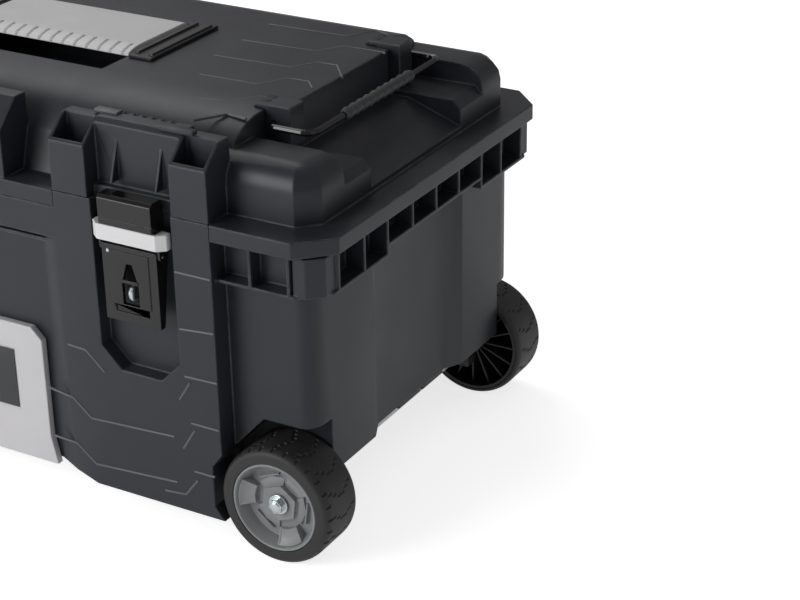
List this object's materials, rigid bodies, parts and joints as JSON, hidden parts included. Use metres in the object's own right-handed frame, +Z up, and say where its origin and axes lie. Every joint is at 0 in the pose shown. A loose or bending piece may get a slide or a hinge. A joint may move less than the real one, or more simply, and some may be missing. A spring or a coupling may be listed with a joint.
{
  "type": "rolling toolbox",
  "caption": "Long moulded toolbox on two wheels with hinged lid, draw latches, end bail, fold-flat carry handle and pull-out towing handle.",
  "frame": {"origin": "centre of the bounding box's base, on the ground", "axes": "+X towards the wheel end, -Y towards the latches, +Z up"},
  "size_m": [0.78, 0.416, 0.3751],
  "materials": {
    "charcoal_plastic": "fine moulded grain, charcoal",
    "black_plastic": "semi-matt black",
    "pale_grey_plastic": "satin pale grey",
    "hub_grey_plastic": "satin mid grey",
    "grip_grey": "ribbed soft grip",
    "black_rubber": "matt black",
    "tyre_rubber": "matt dark grey",
    "black_steel": "gloss black coating",
    "plain_steel": "drawn bar",
    "zinc_steel": "bright zinc"
  },
  "bodies": {
    "case": {"case_shell": "charcoal_plastic", "label_plate": "pale_grey_plastic", "wheel_axle": "plain_steel", "axle_clip_front": "black_plastic", "axle_clip_rear": "black_plastic", "axle_bolt_front": "zinc_steel", "axle_bolt_rear": "zinc_steel", "foot_front": "black_rubber", "foot_rear": "black_rubber", "lever_pin_left": "plain_steel", "lever_pin_right": "plain_steel", "padlock_staple_left": "zinc_steel", "padlock_staple_right": "zinc_steel", "hinge_pin_left": "plain_steel", "hinge_pin_middle": "plain_steel", "hinge_pin_right": "plain_steel", "tube_guide_front_1": "black_plastic", "tube_guide_front_2": "black_plastic", "tube_guide_rear_1": "black_plastic", "tube_guide_rear_2": "black_plastic"},
    "lid": {"lid_shell": "charcoal_plastic", "lid_seal": "black_rubber", "bail_bracket_front": "black_plastic", "bail_bracket_rear": "black_plastic", "carry_rail_left": "black_plastic", "carry_rail_right": "black_plastic", "carry_pin_left": "plain_steel", "carry_pin_right": "plain_steel"},
    "wheel_front": {"tyre_front": "tyre_rubber", "hub_front": "hub_grey_plastic"},
    "wheel_rear": {"tyre_rear": "tyre_rubber", "hub_rear": "hub_grey_plastic"},
    "lever_left": {"lever_left": "black_steel", "hook_pin_left": "plain_steel"},
    "lever_right": {"lever_right": "black_steel", "hook_pin_right": "plain_steel"},
    "hook_left": {"hook_band_left": "pale_grey_plastic", "hook_cap_left": "black_steel"},
    "hook_right": {"hook_band_right": "pale_grey_plastic", "hook_cap_right": "black_steel"},
    "bail": {"bail_rod": "black_steel", "bail_grip": "grip_grey"},
    "carry_handle": {"carry_handle": "pale_grey_plastic"},
    "pull_handle": {"pull_tube_front": "plain_steel", "pull_tube_rear": "plain_steel", "pull_grip": "black_plastic"},
    "pull_button": {"pull_button": "pale_grey_plastic"}
  },
  "joints": [
    {"name": "lid_hinge", "type": "hinge", "parent": "case", "child": "lid", "pos_m": [0, 0.201, 0.2818], "axis": [-1, 0, 0], "range_deg": [0, 100]},
    {"name": "wheel_front_spin", "type": "hinge", "parent": "case", "child": "wheel_front", "pos_m": [0.3347, -0.17625, 0.0541], "axis": [0, 1, 0], "continuous": true},
    {"name": "wheel_rear_spin", "type": "hinge", "parent": "case", "child": "wheel_rear", "pos_m": [0.3347, 0.17625, 0.0541], "axis": [0, 1, 0], "continuous": true},
    {"name": "lever_right_swing", "type": "hinge", "parent": "case", "child": "lever_right", "pos_m": [0.20575, -0.191, 0.2738], "axis": [-1, 0, 0], "range_deg": [0, 75]},
    {"name": "hook_right_swing", "type": "hinge", "parent": "lever_right", "child": "hook_right", "pos_m": [0.20575, -0.2, 0.2658], "axis": [1, 0, 0], "range_deg": [0, 96]},
    {"name": "lever_left_swing", "type": "hinge", "parent": "case", "child": "lever_left", "pos_m": [-0.20575, -0.191, 0.2738], "axis": [-1, 0, 0], "range_deg": [0, 75]},
    {"name": "hook_left_swing", "type": "hinge", "parent": "lever_left", "child": "hook_left", "pos_m": [-0.20575, -0.2, 0.2658], "axis": [1, 0, 0], "range_deg": [0, 96]},
    {"name": "bail_swing", "type": "hinge", "parent": "lid", "child": "bail", "pos_m": [0.286, 0, 0.3578], "axis": [0, -1, 0], "range_deg": [0, 100]},
    {"name": "carry_handle_swing", "type": "hinge", "parent": "lid", "child": "carry_handle", "pos_m": [0, 0.041, 0.3648], "axis": [-1, 0, 0], "range_deg": [0, 95]},
    {"name": "pull_handle_slide", "type": "slide", "parent": "case", "child": "pull_handle", "axis": [-1, 0, 0], "range_m": [0, 0.38]},
    {"name": "pull_button_press", "type": "slide", "parent": "pull_handle", "child": "pull_button", "axis": [0, 0, -1], "range_m": [0, 0.003], "stiffness_N_per_m": 300}
  ],
  "couplings": [
    {"joint": "hook_right_swing", "follows": "lever_right_swing", "ratio": 1.2667},
    {"joint": "hook_left_swing", "follows": "lever_left_swing", "ratio": 1.2667}
  ]
}
